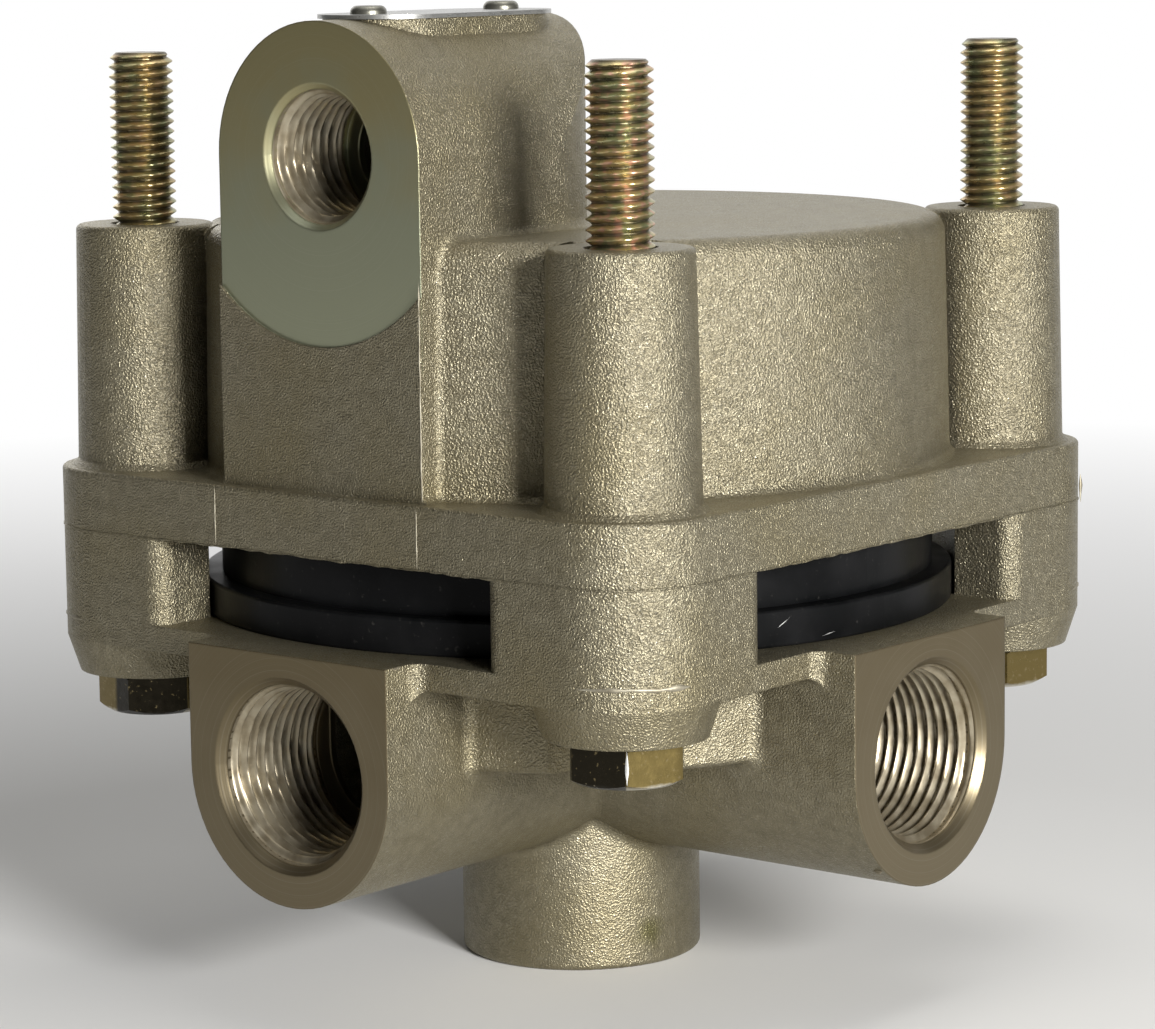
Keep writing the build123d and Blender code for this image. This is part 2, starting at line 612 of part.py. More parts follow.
# Relay piston: cupped crown with a seal groove, and a stem that carries the exhaust seat
piston_groove = 2 * (PISTON_SEAL_R + GROOVE_SIDE_CLEARANCE)
piston_groove_r = LINER_BORE_R - 2 * (PISTON_SEAL_R + SEAL_GAP)
with BuildPart() as relay_piston:
    with BuildSketch(Plane.XY.offset(PISTON_TOP_Z)):
        Circle(piston_r)
    extrude(amount=-PISTON_RIM_HEIGHT)
    chamfer(relay_piston.edges().group_by(Axis.Z)[-1], 2 * PISTON_CLEARANCE)
    with BuildSketch(Plane.XY.offset(piston_disc_z)):
        Circle(piston_r - PISTON_RIM_WALL)
    extrude(amount=PISTON_DISC - PISTON_RIM_HEIGHT, mode=Mode.SUBTRACT)
    with BuildSketch(Plane.XY.offset(piston_disc_z)):
        Circle(piston_stem_r)
    extrude(amount=exhaust_seat_z - piston_disc_z)
    with BuildSketch(Plane.XY.offset(exhaust_seat_z)):
        Circle(piston_stem_r - EXHAUST_SEAT_WALL)
    extrude(amount=EXHAUST_SEAT_DEPTH, mode=Mode.SUBTRACT)
    with BuildSketch(Plane.XY.offset(piston_seal_z - piston_groove / 2)):
        Circle(LINER_BORE_R)
        Circle(piston_groove_r, mode=Mode.SUBTRACT)
    extrude(amount=piston_groove, mode=Mode.SUBTRACT)
relay_piston.part.label = "relay_piston"
export_step(relay_piston.part, "parts/relay_piston.step")

make_seal("piston_seal", LINER_BORE_R - PISTON_SEAL_R - SEAL_GAP, PISTON_SEAL_R, piston_seal_z)
make_spring(
    "piston_spring",
    piston_spring_r,
    PISTON_SPRING_WIRE_R,
    PISTON_SPRING_TURNS,
    HUB_TOP_Z,
    piston_disc_z,
)


# Inlet and exhaust valve: a tube with a flange that carries a moulded rubber face
with BuildPart() as valve_stem:
    with BuildSketch(Plane.XY.offset(valve_foot_z)):
        Circle(VALVE_STEM_R)
    extrude(amount=VALVE_STEM_LENGTH)
    with BuildSketch(Plane.XY.offset(valve_flange_z)):
        Circle(valve_disc_r)
    extrude(amount=VALVE_FLANGE)
    with BuildSketch(Plane.XY.offset(valve_foot_z)):
        Circle(valve_stem_bore_r)
    extrude(amount=VALVE_STEM_LENGTH + VALVE_FLANGE, mode=Mode.SUBTRACT)
valve_stem.part.label = "valve_stem"
export_step(valve_stem.part, "parts/valve_stem.step")

with BuildPart() as valve_rubber_face:
    with BuildSketch(Plane.XY.offset(valve_flange_z + VALVE_FLANGE)):
        Circle(valve_disc_r)
        Circle(valve_stem_bore_r, mode=Mode.SUBTRACT)
    extrude(amount=VALVE_RUBBER)
valve_rubber_face.part.label = "valve_rubber_face"
export_step(valve_rubber_face.part, "parts/valve_rubber_face.step")

make_spring(
    "valve_spring",
    valve_spring_r,
    VALVE_SPRING_WIRE_R,
    VALVE_SPRING_TURNS,
    GUIDE_TOP_Z,
    valve_flange_z,
)


# Guide: bush for the valve stem, with a spider across its foot to carry the flap
guide_groove = 2 * (GUIDE_SEAL_R + GROOVE_SIDE_CLEARANCE)
stem_groove = 2 * (STEM_SEAL_R + GROOVE_SIDE_CLEARANCE)
with BuildPart() as valve_guide:
    with BuildSketch(Plane.XY.offset(guide_bottom_z)):
        Circle(guide_r)
    extrude(amount=GUIDE_TOP_Z - guide_bottom_z)
    with BuildSketch(Plane.XY.offset(GUIDE_TOP_Z)):
        Circle(guide_collar_r)
    extrude(amount=GUIDE_COLLAR_HEIGHT)
    with BuildSketch(Plane.XY.offset(guide_bottom_z)):
        Circle(guide_bore_r)
    extrude(amount=GUIDE_TOP_Z + GUIDE_COLLAR_HEIGHT - guide_bottom_z, mode=Mode.SUBTRACT)
    with BuildSketch(Plane.XY.offset(guide_bottom_z)):
        with PolarLocations(0, SPIDER_ARMS // 2, angular_range=180):
            Rectangle(guide_bore_r + guide_r, SPIDER_ARM)
        Circle(SPIDER_HUB_R)
        Circle(FLAP_STEM_R + RUNNING_CLEARANCE, mode=Mode.SUBTRACT)
    extrude(amount=SPIDER_THICKNESS)
    with BuildSketch(Plane.XY.offset(guide_seal_z - guide_groove / 2)):
        Circle(valve_bore_r)
        Circle(valve_bore_r - 2 * (GUIDE_SEAL_R + SEAL_GAP), mode=Mode.SUBTRACT)
    extrude(amount=guide_groove, mode=Mode.SUBTRACT)
    with BuildSketch(Plane.XY.offset(stem_seal_z - stem_groove / 2)):
        Circle(VALVE_STEM_R + 2 * (STEM_SEAL_R + SEAL_GAP))
    extrude(amount=stem_groove, mode=Mode.SUBTRACT)
valve_guide.part.label = "valve_guide"
export_step(valve_guide.part, "parts/valve_guide.step")

make_seal("guide_seal", valve_bore_r - GUIDE_SEAL_R - SEAL_GAP, GUIDE_SEAL_R, guide_seal_z)
make_seal("stem_seal", VALVE_STEM_R + STEM_SEAL_R + SEAL_GAP, STEM_SEAL_R, stem_seal_z)


# Snap ring that holds the guide in the tube, open on one side
with BuildPart() as snap_ring:
    with BuildSketch(Plane.XY.offset(RING_GROOVE_Z)):
        Circle(snap_ring_r)
        Circle(snap_ring_r - RING_WIDTH, mode=Mode.SUBTRACT)
        with Locations((0, snap_ring_r)):
            Rectangle(RING_GAP, 3 * RING_WIDTH, mode=Mode.SUBTRACT)
    extrude(amount=RING_THICKNESS)
snap_ring.part.label = "snap_ring"
export_step(snap_ring.part, "parts/snap_ring.step")


# Exhaust flap: rubber mushroom whose stem is pulled through the spider
with BuildPart() as exhaust_flap:
    with BuildSketch(Plane.XY.offset(guide_bottom_z)):
        Circle(flap_r)
    extrude(amount=-FLAP_THICKNESS)
    fillet(exhaust_flap.edges().group_by(Axis.Z)[0], FLAP_EDGE_R)
    with BuildSketch(Plane.XY.offset(guide_bottom_z)):
        Circle(FLAP_STEM_R)
    extrude(amount=SPIDER_THICKNESS)
    with BuildSketch(Plane.XY.offset(guide_bottom_z + SPIDER_THICKNESS)):
        Circle(FLAP_HEAD_R)
    extrude(amount=FLAP_HEAD_HEIGHT, taper=FLAP_HEAD_DRAFT)
exhaust_flap.part.label = "exhaust_flap"
export_step(exhaust_flap.part, "parts/exhaust_flap.step")


# Bolts: hexagon head under the lower body, shank screwed through the cover, and a threaded
# end that stands out on top, drawn at the crest of its thread
head_corner_r = BOLT_HEAD_FLATS / 2 / cos(radians(30))
for name, (side_x, side_y, head_turn) in bolts.items():
    head_plane = Plane(
        origin=(side_x * bolt_pitch / 2, side_y * bolt_pitch / 2, head_seat_z), z_dir=(0, 0, 1)
    )
    with BuildPart() as bolt:
        with BuildSketch(head_plane):
            RegularPolygon(BOLT_HEAD_FLATS / 2, 6, major_radius=False, rotation=head_turn)
        extrude(amount=-BOLT_HEAD_HEIGHT)
        with BuildSketch(head_plane.offset(-BOLT_HEAD_HEIGHT)):
            Circle(head_corner_r - BOLT_HEAD_CHAMFER)
        extrude(amount=BOLT_HEAD_HEIGHT, taper=-60, mode=Mode.INTERSECT)
        with BuildSketch(head_plane):
            Circle(BOLT_SHANK_R)
        extrude(amount=COVER_TOP_Z - head_seat_z)
        with BuildSketch(head_plane.offset(COVER_TOP_Z - head_seat_z)):
            Circle(BOLT_R)
        extrude(amount=STUD_LENGTH)
        chamfer(bolt.edges().group_by(Axis.Z)[-1], BOLT_POINT_CHAMFER)
    bolt.part.label = name
    export_step(bolt.part, f"parts/{name}.step")


# Nameplate on the pad, and the two round-headed rivets that hold it
with BuildPart() as nameplate:
    with BuildSketch(Plane.XY.offset(crest_z)):
        with Locations((0, pad_centre_y)):
            SlotOverall(PLATE_LENGTH, PLATE_WIDTH, rotation=90)
        with Locations(rivet_places):
            Circle(RIVET_SHANK_R, mode=Mode.SUBTRACT)
    extrude(amount=PLATE_THICKNESS)
nameplate.part.label = "nameplate"
export_step(nameplate.part, "parts/nameplate.step")

rivet_seat_z = crest_z + PLATE_THICKNESS
for name, y in rivet_y.items():
    with BuildPart() as rivet:
        with BuildSketch(Plane.XY.offset(rivet_seat_z)):
            with Locations((0, y)):
                Circle(RIVET_HEAD_R)
        extrude(amount=RIVET_HEAD_HEIGHT)
        fillet(rivet.edges().group_by(Axis.Z)[-1], RIVET_HEAD_HEIGHT * 0.8)
        with BuildSketch(Plane.XY.offset(rivet_seat_z)):
            with Locations((0, y)):
                Circle(RIVET_SHANK_R)
        extrude(amount=-RIVET_SHANK_LENGTH)
    rivet.part.label = name
    export_step(rivet.part, f"parts/{name}.step")
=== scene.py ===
import bpy
import numpy as np
from mathutils import Matrix


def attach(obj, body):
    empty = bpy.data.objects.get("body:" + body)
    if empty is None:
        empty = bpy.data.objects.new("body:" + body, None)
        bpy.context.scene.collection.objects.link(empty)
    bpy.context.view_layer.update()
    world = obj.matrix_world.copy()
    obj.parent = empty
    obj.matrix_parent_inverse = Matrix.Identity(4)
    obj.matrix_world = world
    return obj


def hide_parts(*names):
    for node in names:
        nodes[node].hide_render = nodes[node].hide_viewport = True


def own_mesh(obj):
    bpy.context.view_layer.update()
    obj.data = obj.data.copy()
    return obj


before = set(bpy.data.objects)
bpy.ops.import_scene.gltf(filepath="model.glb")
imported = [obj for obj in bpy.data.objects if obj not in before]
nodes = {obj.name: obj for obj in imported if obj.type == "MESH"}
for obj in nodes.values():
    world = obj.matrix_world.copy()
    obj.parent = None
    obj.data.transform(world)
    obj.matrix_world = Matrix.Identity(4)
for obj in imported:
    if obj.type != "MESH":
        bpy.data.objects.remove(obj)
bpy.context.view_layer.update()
MM = 0.001


# Cover: a die-cast aluminium dome on a square flange, with a boss for each bolt. It is shot
# blasted and then chromated, which leaves a gold-grey skin that glitters; in the colour the
# glitter is painted, as pale specks on the grain's peaks (painted highlight) and darker specks
# in its pits (painted shade). The disc round the control port and the port's bore are cut
# afterwards, and are smooth and more olive, with painted glints on their turning rings.
CAST_SHADE = (0.190, 0.168, 0.112, 1)
CAST_TONE = (0.258, 0.232, 0.160, 1)
CAST_PAINTED_GLINT = (0.520, 0.500, 0.430, 1)
CAST_PATINA = (0.212, 0.180, 0.100, 1)
CONTROL_CUT_LOW = (0.300, 0.312, 0.215, 1)
CONTROL_CUT_HIGH = (0.330, 0.290, 0.150, 1)
GRAIN_SIZE = 0.25 * MM
MOTTLE_SIZE = 1.5 * MM
PATINA_SIZE = 17 * MM
EDGE_SOFTNESS = 0.35 * MM
BLASTED_LEVELS = (24 * MM, 44 * MM)
CAST_ROUGHNESS = 0.42
CUT_ROUGHNESS = 0.33


def node(tree, kind, inputs=None, **settings):
    """One shader node. Settings are its options, and inputs are links or values by socket."""
    made = tree.nodes.new("ShaderNode" + kind)
    for name, value in settings.items():
        setattr(made, name, value)
    for name, value in (inputs or {}).items():
        if isinstance(value, bpy.types.NodeSocket):
            tree.links.new(value, made.inputs[name])
        else:
            made.inputs[name].default_value = value
    return made


def maths(tree, operation, *values):
    """The result of one arithmetic step on links or numbers."""
    return node(tree, "Math", dict(enumerate(values)), operation=operation).outputs[0]


def grade(tree, value, low, high, start=0.0, end=1.0):
    """Value rescaled so that low gives start and high gives end, held there beyond them."""
    ends = {"Value": value, "From Min": low, "From Max": high, "To Min": start, "To Max": end}
    return node(tree, "MapRange", ends).outputs["Result"]


def blend(tree, share, first, second):
    """The first colour where share is 0 and the second where it is 1."""
    return node(tree, "Mix", {0: share, 6: first, 7: second}, data_type="RGBA").outputs[2]


def patches(tree, place, size, detail=2.0):
    """A soft random pattern from 0 to 1, in patches about size across."""
    inputs = {"Vector": place, "Scale": 1 / size, "Detail": detail}
    return node(tree, "TexNoise", inputs).outputs["Fac"]


def distance(tree, first, second, centre):
    """Distance from a line along the third axis, from the two other coordinates."""
    offsets = [maths(tree, "SUBTRACT", v, c) for v, c in zip((first, second), centre)]
    squares = [maths(tree, "MULTIPLY", v, v) for v in offsets]
    return maths(tree, "SQRT", maths(tree, "ADD", *squares))


def new_finish(name, constants):
    """A material, its node tree, its shader, and the place on the object in metres."""
    material = bpy.data.materials.new(name)
    material.use_nodes = True
    tree = material.node_tree
    shader = tree.nodes["Principled BSDF"]
    for socket, value in constants.items():
        shader.inputs[socket].default_value = value
    return material, tree, shader, node(tree, "TexCoord").outputs["Object"]


def wire(tree, shader, **sockets):
    """Links colour, roughness or normal into the shader."""
    names = {"colour": "Base Color", "roughness": "Roughness", "normal": "Normal"}
    for key, link in sockets.items():
        tree.links.new(link, shader.inputs[names[key]])


def bumps(tree, height, depth, under=None):
    """Surface normal of a height from 0 to 1 that stands depth metres proud."""
    inputs = {"Height": height, "Distance": depth, "Strength": 1.0}
    if under:
        inputs["Normal"] = under
    return node(tree, "Bump", inputs).outputs["Normal"]


def cut_marks(tree, radius):
    """Fine rings left by a turning cutter, at random heights from 0 to 1."""
    rings = {"W": radius, "Scale": 1 / (0.16 * MM), "Detail": 1.0}
    return node(tree, "TexNoise", rings, noise_dimensions="1D").outputs["Fac"]


def cast_finish(name, cut_zones, cut_colours, film_levels, stains=()):
    """Blasted casting skin, with cut zones given as (mask, distance from the cutter's axis),
    whose film goes from one colour to the other between two levels of Z, and with stains
    given as (place, radius, colour)."""
    constants = {"Metallic": 0.84, "Specular IOR Level": 0.4}
    material, tree, shader, place = new_finish(name, constants)
    x, y, z = node(tree, "SeparateXYZ", {0: place}).outputs
    grain = patches(tree, place, GRAIN_SIZE, 1.6)
    mottle = patches(tree, place, MOTTLE_SIZE, 3.0)
    patina = patches(tree, place, PATINA_SIZE, 4.0)
    # Painted light in the grain: the paler specks on its peaks are painted glints, and the darker specks in its
    # pits are painted shade.
    painted_glints = grade(tree, grain, 0.58, 0.70)
    shaded_pits = grade(tree, grain, 0.44, 0.33)

    skin = blend(tree, grade(tree, mottle, 0.30, 0.70), CAST_SHADE, CAST_TONE)
    skin = blend(tree, grade(tree, patina, 0.45, 0.70, 0.0, 0.6), skin, CAST_PATINA)
    skin = blend(tree, maths(tree, "MULTIPLY", shaded_pits, 0.35), skin, CAST_SHADE)
    skin = blend(tree, maths(tree, "MULTIPLY", painted_glints, 0.20), skin, CAST_PAINTED_GLINT)
    for stain_place, stain_radius, stain_colour in stains:
        offset = node(tree, "VectorMath", {0: place, 1: stain_place}, operation="DISTANCE")
        ragged = maths(tree, "ADD", offset.outputs["Value"], maths(tree, "MULTIPLY", mottle, 2 * MM))
        share = grade(tree, ragged, stain_radius, 0.3 * stain_radius, 0.0, 0.8)
        skin = blend(tree, share, skin, stain_colour)

    masks = [zone(tree, x, y, z) for zone in cut_zones]
    cut = masks[0][0]
    for mask, _ in masks[1:]:
        cut = maths(tree, "MAXIMUM", cut, mask)
    rings = [maths(tree, "MULTIPLY", mask, cut_marks(tree, radius)) for mask, radius in masks]
    ring = rings[0]
    for other in rings[1:]:
        ring = maths(tree, "MAXIMUM", ring, other)
    cloud = maths(tree, "MULTIPLY", patches(tree, place, 9 * MM, 3.0), 30 * MM)
    film = grade(tree, maths(tree, "ADD", z, cloud), *film_levels)
    cut_skin = blend(tree, film, *cut_colours)
    # Painted glints on the turning rings of the cut faces.
    cut_skin = blend(tree, grade(tree, ring, 0.60, 0.9, 0.0, 0.12), cut_skin, CAST_PAINTED_GLINT)
    colour = blend(tree, cut, skin, cut_skin)

    cast_rough = grade(tree, grain, 0.35, 0.70, CAST_ROUGHNESS + 0.06, CAST_ROUGHNESS - 0.12)
    rough = node(tree, "Mix", {0: cut, 2: cast_rough, 3: CUT_ROUGHNESS}).outputs[0]
    soft_edge = node(tree, "Bevel", {"Radius": EDGE_SOFTNESS}, samples=4).outputs["Normal"]
    relief = maths(tree, "ADD", grain, maths(tree, "MULTIPLY", mottle, 0.18))
    blasted = grade(tree, z, *BLASTED_LEVELS, 0.5, 1.0)
    blasted = maths(tree, "MULTIPLY", blasted, maths(tree, "SUBTRACT", 1.0, cut))
    cast_relief = maths(tree, "MULTIPLY", relief, blasted)
    height = maths(tree, "ADD", cast_relief, maths(tree, "MULTIPLY", ring, 0.018))
    wire(tree, shader, colour=colour, roughness=rough)
    wire(tree, shader, normal=bumps(tree, height, 0.27 * MM, soft_edge))
    return material


def dress(name, material):
    """Gives a CAD node its finish."""
    nodes[name].data.materials.clear()
    nodes[name].data.materials.append(material)
    for face in nodes[name].data.polygons:
        face.material_index = 0


CONTROL_PORT_Z = 104.7 * MM
CONTROL_FACE_Y = -47.5 * MM
CONTROL_BORE_R = 8.0 * MM
CONTROL_CUT_R = 8.85 * MM


def control_face(tree, x, y, z):
    """The cut disc, which lies half a millimetre behind the cast face."""
    radius = distance(tree, x, z, (0.0, CONTROL_PORT_Z))
    off = maths(tree, "ABSOLUTE", maths(tree, "SUBTRACT", y, CONTROL_FACE_Y))
    on_disc = maths(tree, "LESS_THAN", off, 0.05 * MM)
    return maths(tree, "MULTIPLY", on_disc, maths(tree, "GREATER_THAN", z, 0.08)), radius


def control_bore(tree, x, y, z):
    """The control port's bore and its chamfered mouth."""
    radius = distance(tree, x, z, (0.0, CONTROL_PORT_Z))
    inside = maths(tree, "LESS_THAN", radius, CONTROL_CUT_R)
    forward = maths(tree, "LESS_THAN", y, CONTROL_FACE_Y + 15 * MM)
    return maths(tree, "MULTIPLY", inside, forward), radius


CONTROL_FILM_LEVELS = (112 * MM, 130 * MM)
control_cuts = (CONTROL_CUT_LOW, CONTROL_CUT_HIGH)
cover_finish = cast_finish("blasted_cover", [control_face, control_bore], control_cuts, CONTROL_FILM_LEVELS)
dress("cover", cover_finish)


# Lower body: the same alloy and finish, cast with three round port bosses, the exhaust tube
# and four corner posts that hold up the cover. The port faces, their bores and the foot of
# the tube are cut. An olive stain has run down the tube.
PORT_Z = 31.5 * MM
PORT_FACE = 55.0 * MM
PORT_BORE_R = 11.0 * MM
PORT_CUT_R = 12.1 * MM
TUBE_STAIN = (0.105, 0.098, 0.030, 1)
PORT_CUT_LOW = (0.165, 0.136, 0.084, 1)
PORT_CUT_HIGH = (0.140, 0.112, 0.064, 1)
PORT_FILM_LEVELS = (40 * MM, 60 * MM)


def front_ports(tree, x, y, z):
    """The two delivery faces across Y, and their bores."""
    radius = distance(tree, x, z, (0.0, PORT_Z))
    reach = maths(tree, "ABSOLUTE", y)
    face = maths(tree, "GREATER_THAN", reach, PORT_FACE - 0.05 * MM)
    in_bore = maths(tree, "LESS_THAN", radius, PORT_CUT_R)
    bore = maths(tree, "MULTIPLY", in_bore, maths(tree, "GREATER_THAN", reach, 37 * MM))
    return maths(tree, "MAXIMUM", face, bore), radius


def supply_port(tree, x, y, z):
    """The supply face on +X, and its bore."""
    radius = distance(tree, y, z, (0.0, PORT_Z))
    face = maths(tree, "GREATER_THAN", x, PORT_FACE - 0.05 * MM)
    in_bore = maths(tree, "LESS_THAN", radius, PORT_CUT_R)
    bore = maths(tree, "MULTIPLY", in_bore, maths(tree, "GREATER_THAN", x, 37 * MM))
    return maths(tree, "MAXIMUM", face, bore), radius


def tube_foot(tree, x, y, z):
    """The turned foot of the exhaust tube."""
    radius = distance(tree, x, y, (0.0, 0.0))
    return maths(tree, "LESS_THAN", z, 0.02 * MM), radius


STAINS = [((14.8 * MM, -4.4 * MM, 4.4 * MM), 3.6 * MM, TUBE_STAIN)]
port_cuts = (PORT_CUT_LOW, PORT_CUT_HIGH)
body_cuts = [front_ports, supply_port, tube_foot]
body_finish = cast_finish("blasted_lower_body", body_cuts, port_cuts, PORT_FILM_LEVELS, STAINS)
dress("lower_body", body_finish)


# Port threads: cut straight into the casting, so their flanks are as bright as the bores.
# The ridges stand in from each bore's wall, from just behind the chamfer to the thread's end.
THREAD_PITCH = 1.5 * MM
THREAD_DEPTH = 0.86 * MM
THREAD_ROWS = 10
THREAD_EMBED = 0.03 * MM
BRIGHT_CUT = (0.360, 0.318, 0.232, 1)
DULL_CUT = (0.245, 0.205, 0.136, 1)
FLASH_BRIGHT = (0.400, 0.372, 0.290, 1)
FLASH_DULL = (0.220, 0.195, 0.140, 1)


def bright_cut_finish(name, dull, bright, roughness):
    """Freshly cut or broken metal, with streaks of film that dull it here and there."""
    constants = {"Metallic": 0.75, "Specular IOR Level": 0.5}
    material, tree, shader, place = new_finish(name, constants)
    streaks = patches(tree, place, 2.2 * MM, 3.0)
    specks = patches(tree, place, 0.5 * MM, 2.0)
    colour = blend(tree, grade(tree, streaks, 0.36, 0.62), dull, bright)
    wire(tree, shader, colour=colour, roughness=grade(tree, streaks, 0.3, 0.7, roughness, roughness + 0.1))
    wire(tree, shader, normal=bumps(tree, specks, 0.012 * MM))
    return material


def thread_profile(height, turn, pitch, depth, crest_share=0.14, root_share=0.24):
    """How far a thread stands out of its root: flat crest and root, with straight flanks
    between. Height is along the axis and turn is the angle in radians."""
    phase = np.mod(height / pitch - turn / (2 * np.pi), 1.0)
    across = np.abs(2 * phase - 1)
    return depth * np.clip((across - root_share) / (1 - root_share - crest_share), 0, 1)


def grid_faces(rows, columns, close_rows=False):
    """Four-sided faces between the neighbours of a grid whose columns close on themselves."""
    row, column = np.meshgrid(np.arange(rows if close_rows else rows - 1), np.arange(columns), indexing="ij")
    below, beside = (row + 1) % rows, (column + 1) % columns
    corners = [row * columns + column, row * columns + beside, below * columns + beside, below * columns + column]
    return np.stack(corners, -1).reshape(-1, 4)


def make_piece(name, points, faces, material, body="housing", crease=35):
    """A mesh object at the origin, smooth but for edges sharper than crease degrees."""
    mesh = bpy.data.meshes.new(name)
    mesh.from_pydata(points.reshape(-1, 3).tolist(), [], faces)
    mesh.materials.append(material)
    mesh.shade_smooth()
    mesh.set_sharp_from_angle(angle=np.radians(crease))
    piece = bpy.data.objects.new(name, mesh)
    bpy.context.scene.collection.objects.link(piece)
    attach(piece, body)
    return piece


def bore_thread(name, origin, outward, radius, length, mouth):
    """A ring-shaped shell: a helical ridge inside, and a plain back sunk into the wall.
    Origin is the bore's centre on its face, and outward is the way out of it."""
    rows = int(length / THREAD_PITCH * THREAD_ROWS)
    columns = 84
    depth = np.linspace(mouth, mouth + length, rows)[:, None]
    turn = np.linspace(0, 2 * np.pi, columns, endpoint=False)[None, :]
    fade = np.clip(np.minimum(depth - mouth, mouth + length - depth) / THREAD_PITCH, 0, 1)
    ridge = thread_profile(depth, turn, THREAD_PITCH, THREAD_DEPTH) * fade
    inner = radius - 0.01 * MM - ridge
    back = np.full((2, columns), radius + THREAD_EMBED)
    r = np.vstack([inner, back])
    d = np.vstack([depth + 0 * turn, np.full((1, columns), mouth + length), np.full((1, columns), mouth)])
    axis = np.array(outward, float)
    across = np.array([-axis[1], axis[0], 0.0])
    up = np.array([0.0, 0.0, 1.0])
    points = (
        np.array(origin)
        - d[..., None] * axis
        + (r * np.cos(turn))[..., None] * across
        + (r * np.sin(turn))[..., None] * up
    )
    faces = grid_faces(rows + 2, columns, close_rows=True)
    return make_piece(name, points, faces.tolist(), thread_finish)


thread_finish = bright_cut_finish("cut_thread", DULL_CUT, BRIGHT_CUT, 0.32)
bore_thread("control_thread", (0, CONTROL_FACE_Y, CONTROL_PORT_Z), (0, -1, 0), CONTROL_BORE_R, 12.6 * MM, 0.9 * MM)
for thread_name, outward in {
    "delivery_front_thread": (0, -1, 0),
    "delivery_rear_thread": (0, 1, 0),
    "supply_thread": (1, 0, 0),
}.items():
    port_origin = PORT_FACE * np.array(outward) + (0, 0, PORT_Z)
    bore_thread(thread_name, port_origin, outward, PORT_BORE_R, 15.4 * MM, 1.2 * MM)


# Flash and marks: thin ragged ridges left where the die halves met, along the foot of the
# cover's flange and up both sides of the control housing. A chip shines on the front port,
# a small nub hangs from the right one, and the liner carries two scratches. The pale colour
# of the flash finish on the foot, housing and flange ridges is a painted highlight along
# their edges.
FLANGE_HALF = 49.5 * MM
FLANGE_CORNER_R = 11.25 * MM
FLASH_STEP = 0.55 * MM
FLASH_SIDES = 6


def flange_line(arcs, z):
    """Points and outward directions along a rounded square: an arc about each named corner,
    given as sides and start and end degrees, with straight runs between, evenly spaced."""
    centre = FLANGE_HALF - FLANGE_CORNER_R
    turns = [np.radians(np.linspace(start, end, 24)) for _, _, start, end in arcs]
    outward = np.concatenate([np.stack([np.cos(t), np.sin(t), 0 * t], -1) for t in turns])
    middles = np.concatenate([np.tile([sx * centre, sy * centre, z], (24, 1)) for sx, sy, _, _ in arcs])
    return even_path(middles + FLANGE_CORNER_R * outward, outward)


def even_path(points, outward):
    """The same line with its points FLASH_STEP apart, and the outward directions there."""
    along = np.concatenate([[0], np.cumsum(np.linalg.norm(np.diff(points, axis=0), axis=1))])
    steps = np.linspace(0, along[-1], max(int(along[-1] / FLASH_STEP), 6))
    path = np.stack([np.interp(steps, along, points[:, k]) for k in range(3)], -1)
    ways = np.stack([np.interp(steps, along, outward[:, k]) for k in range(3)], -1)
    return path, ways / np.linalg.norm(ways, axis=1, keepdims=True)


def straight_line(start, end, outward):
    """A straight run in millimetres with one outward direction."""
    return even_path(np.array([start, end]) * MM, np.array([outward, outward], float))


def ridge(name, line, width, height, seed, material, slot):
    """A six-sided section carried along the line. Its width and height follow a smoothed
    random walk between a tenth and the whole, and it pinches out at both ends."""
    path, outward = line
    count = len(path)
    rng = np.random.default_rng(seed)
    ragged = np.convolve(rng.uniform(0.1, 1.0, count + 2), [0.25, 0.5, 0.25], "valid")
    wander = np.convolve(rng.uniform(-1, 1, count + 4), np.ones(5) / 5, "valid") * width * 0.6
    pinch = np.clip(np.minimum(np.arange(count), count - 1 - np.arange(count)) / 2, 0.08, 1)
    along = np.gradient(path, axis=0)
    along /= np.linalg.norm(along, axis=1, keepdims=True)
    across = np.cross(along, outward)
    turn = np.linspace(0, 2 * np.pi, FLASH_SIDES, endpoint=False)
    size = (ragged * pinch)[:, None, None]
    section = (
        width * size * np.cos(turn)[None, :, None] * across[:, None, :]
        + height * size * np.sin(turn)[None, :, None] * outward[:, None, :]
    )
    points = path[:, None, :] + wander[:, None, None] * across[:, None, :] + section
    points, faces = capped([points])
    return make_piece(name, points, faces, material, crease=60)


def capped(shells):
    """Points and faces of closed shells: the grid's quads, and a flat cap on each end."""
    faces, start = [], 0
    for shell in shells:
        rows, columns = shell.shape[:2]
        faces += (grid_faces(rows, columns) + start).tolist()
        faces.append(list(range(start + columns - 1, start - 1, -1)))
        faces.append(list(range(start + (rows - 1) * columns, start + rows * columns)))
        start += rows * columns
    return np.vstack([shell.reshape(-1, 3) for shell in shells]), faces


# Pale flash finish: bare bright metal on the chip, and on the flash ridges its paleness is a painted highlight
# along their edges.
flash_and_highlight_finish = bright_cut_finish("flash_metal_and_highlight", FLASH_DULL, FLASH_BRIGHT, 0.48)
# Pale finish for the liner's real scratches and for the painted highlight on the front bolt head's edge.
SCRATCH_AND_HIGHLIGHT_GREY = (0.30, 0.30, 0.29, 1)
SCRATCH_AND_HIGHLIGHT_WHITE = (0.60, 0.60, 0.58, 1)
scratch_and_highlight_finish = bright_cut_finish("scratch_and_highlight_pale", SCRATCH_AND_HIGHLIGHT_GREY, SCRATCH_AND_HIGHLIGHT_WHITE, 0.55)
ROUND_THE_COVER = ((-1, -1, 200, 270), (1, -1, 270, 360), (1, 1, 0, 90), (-1, 1, 90, 160))
ridge("cover_flash", flange_line(ROUND_THE_COVER, 57.15 * MM), 0.24 * MM, 0.20 * MM, 11, cover_finish, "casting")
for flash_name, corner in {
    "foot_flash_front_right": (1, -1, 279, 350),
    "foot_flash_front_left": (-1, -1, 205, 262),
    "foot_flash_rear_right": (1, 1, 8, 78),
}.items():
    ridge(flash_name, flange_line([corner], 45.7 * MM), 0.42 * MM, 0.22 * MM, 12, flash_and_highlight_finish, "casting")
